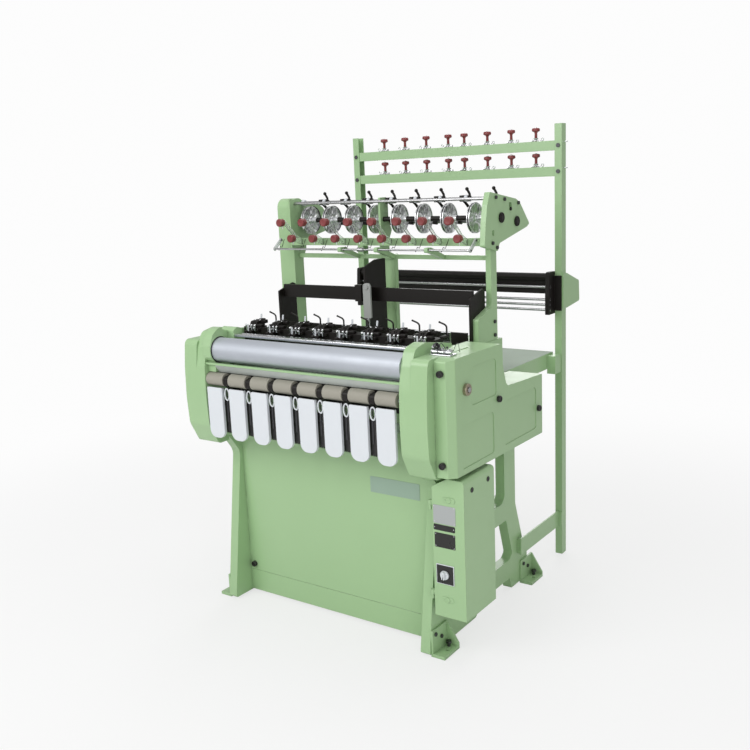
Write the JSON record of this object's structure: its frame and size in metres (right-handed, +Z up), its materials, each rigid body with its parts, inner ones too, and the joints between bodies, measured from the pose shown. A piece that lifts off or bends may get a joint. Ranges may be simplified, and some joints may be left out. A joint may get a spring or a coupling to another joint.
{
  "type": "needle loom",
  "caption": "Power loom of the needle type for narrow tapes: green cast frame, chrome take-up roller, white chutes, feeder discs above, yarn creel behind.",
  "frame": {"origin": "floor level, at the centre of the four anchor holes of the feet", "axes": "+Z up, +X to the operator's right, +Y from the operator towards the creel"},
  "size_m": [1.22, 1.3422, 1.9],
  "materials": {
    "green_paint": "satin light green paint",
    "black_paint": "semi-gloss black",
    "bright_steel": "ground",
    "chrome": "polished",
    "dark_steel": "oiled",
    "grey_rubber": "matte",
    "black_rubber": "matte",
    "white_plastic": "smooth",
    "red_plastic": "smooth",
    "black_plastic": "smooth",
    "clear_plastic": "clear",
    "grey_paint": "satin",
    "aluminium": "satin"
  },
  "bodies": {
    "frame": {"right_side_frame": "green_paint", "left_side_frame": "green_paint", "foot_brackets": "green_paint", "front_panel": "green_paint", "cross_stretchers": "green_paint", "machine_bed": "green_paint", "front_housings": "green_paint", "right_side_cover": "green_paint", "left_side_cover": "green_paint", "control_box": "green_paint", "roller_rail": "green_paint", "left_upright": "green_paint", "rear_uprights": "green_paint", "top_plates": "green_paint", "cross_bars": "green_paint", "bar_brackets": "green_paint", "creel_frame": "green_paint", "creel_brackets": "green_paint", "rear_table": "green_paint", "fasteners": "dark_steel", "cover_knobs": "black_plastic", "chute_slats": "black_plastic", "delivery_chutes": "white_plastic", "motor": "grey_paint", "spring_arm": "grey_paint", "main_belt": "black_rubber", "guide_bar": "bright_steel", "roller_carriers": "black_paint", "head_beam": "black_paint", "head_blocks": "black_paint", "harness_plates": "black_paint", "harness_beams": "black_paint", "arm_clamps": "black_paint", "disc_guards": "black_paint", "guide_unit_ends": "black_paint", "ring_guides": "clear_plastic", "tension_arms": "clear_plastic", "tape_guides": "chrome", "spring_cluster": "chrome", "top_rods": "chrome", "guide_unit_rods": "chrome", "creel_bases": "chrome", "harness_spring": "chrome", "tension_knobs": "red_plastic", "creel_knobs": "red_plastic"},
    "door": {"control_box_door": "green_paint", "switch_plate": "black_plastic"},
    "dial": {"switch_dial": "white_plastic"},
    "main_drive": {"main_shaft": "dark_steel"},
    "rotor": {"motor_rotor": "dark_steel"},
    "take_up": {"take_up_roller": "bright_steel"},
    "press": {"press_shaft": "bright_steel", "press_sleeves": "grey_rubber"},
    "needles": {"needle_shaft": "dark_steel"},
    "sley": {"sley_shaft": "dark_steel", "reeds": "chrome"},
    "feeder": {"feeder_shaft": "black_paint", "feeder_discs": "aluminium"},
    "stop": {"stop_rod": "chrome"},
    "drum": {"guide_unit_drum": "black_paint"}
  },
  "joints": [
    {"name": "main_shaft_turn", "type": "hinge", "parent": "frame", "child": "main_drive", "pos_m": [0, -0.364, 1.001], "axis": [1, 0, 0], "continuous": true},
    {"name": "motor_turn", "type": "hinge", "parent": "frame", "child": "rotor", "pos_m": [0, -0.024, 0.83], "axis": [1, 0, 0], "continuous": true},
    {"name": "take_up_turn", "type": "hinge", "parent": "frame", "child": "take_up", "pos_m": [0, -0.445, 1.079], "axis": [1, 0, 0], "continuous": true},
    {"name": "press_turn", "type": "hinge", "parent": "frame", "child": "press", "pos_m": [0, -0.472, 0.966], "axis": [1, 0, 0], "continuous": true},
    {"name": "feeder_turn", "type": "hinge", "parent": "frame", "child": "feeder", "pos_m": [0, 0.148, 1.545], "axis": [1, 0, 0], "continuous": true},
    {"name": "drum_turn", "type": "hinge", "parent": "frame", "child": "drum", "pos_m": [0, 0.628, 1.268], "axis": [1, 0, 0], "continuous": true},
    {"name": "needle_rock", "type": "hinge", "parent": "frame", "child": "needles", "pos_m": [0, -0.162, 1.03], "axis": [1, 0, 0], "range_deg": [-20, 8]},
    {"name": "sley_rock", "type": "hinge", "parent": "frame", "child": "sley", "pos_m": [0, -0.094, 0.96], "axis": [1, 0, 0], "range_deg": [-12, 12]},
    {"name": "stop_rod_turn", "type": "hinge", "parent": "frame", "child": "stop", "pos_m": [0, 0.016, 1.432], "axis": [1, 0, 0], "range_deg": [-12, 60]},
    {"name": "door_hinge", "type": "hinge", "parent": "frame", "child": "door", "pos_m": [0.513, -0.414, 0.43], "axis": [0, 0, 1], "range_deg": [-100, 0]},
    {"name": "switch_turn", "type": "hinge", "parent": "door", "child": "dial", "pos_m": [0.569, -0.424, 0.337], "axis": [0, 1, 0], "range_deg": [0, 90]}
  ],
  "couplings": [
    {"joint": "motor_turn", "follows": "main_shaft_turn", "ratio": 1.5143},
    {"joint": "take_up_turn", "follows": "main_shaft_turn", "ratio": 0.05},
    {"joint": "press_turn", "follows": "main_shaft_turn", "ratio": -0.09231},
    {"joint": "feeder_turn", "follows": "main_shaft_turn", "ratio": 0.25}
  ]
}
